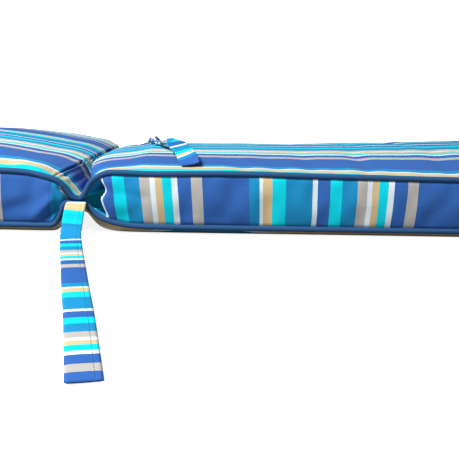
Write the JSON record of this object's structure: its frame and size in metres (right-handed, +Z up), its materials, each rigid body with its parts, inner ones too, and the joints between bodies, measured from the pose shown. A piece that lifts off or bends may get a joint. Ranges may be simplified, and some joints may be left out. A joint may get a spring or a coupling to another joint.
{
  "type": "lounge chair cushion",
  "caption": "Filled lounge chair cushion in two sections with a sewn hinge across the width, piped box edges and a flat cloth tie at each end of the hinge.",
  "frame": {"origin": "middle of the flat underside of the longer section, the seat", "axes": "+X along the length, from the hinge towards the foot end; +Y across the width, away from the side that the picture shows; +Z up, out of the top panel"},
  "size_m": [1.8318, 1.0876, 0.121],
  "materials": {
    "striped_cloth": "matt woven outdoor cloth in navy, teal, cyan, tan, grey and white stripes",
    "piping_cloth": "matt woven navy cloth cut on the bias over a cord",
    "tie_cloth": "the striped cloth folded into a flat strip, the stripes running across it"
  },
  "bodies": {
    "root": {"cushion": "striped_cloth", "piping_top": "piping_cloth", "piping_bottom": "piping_cloth", "tie_front": "tie_cloth", "tie_rear": "tie_cloth"}
  },
  "joints": []
}
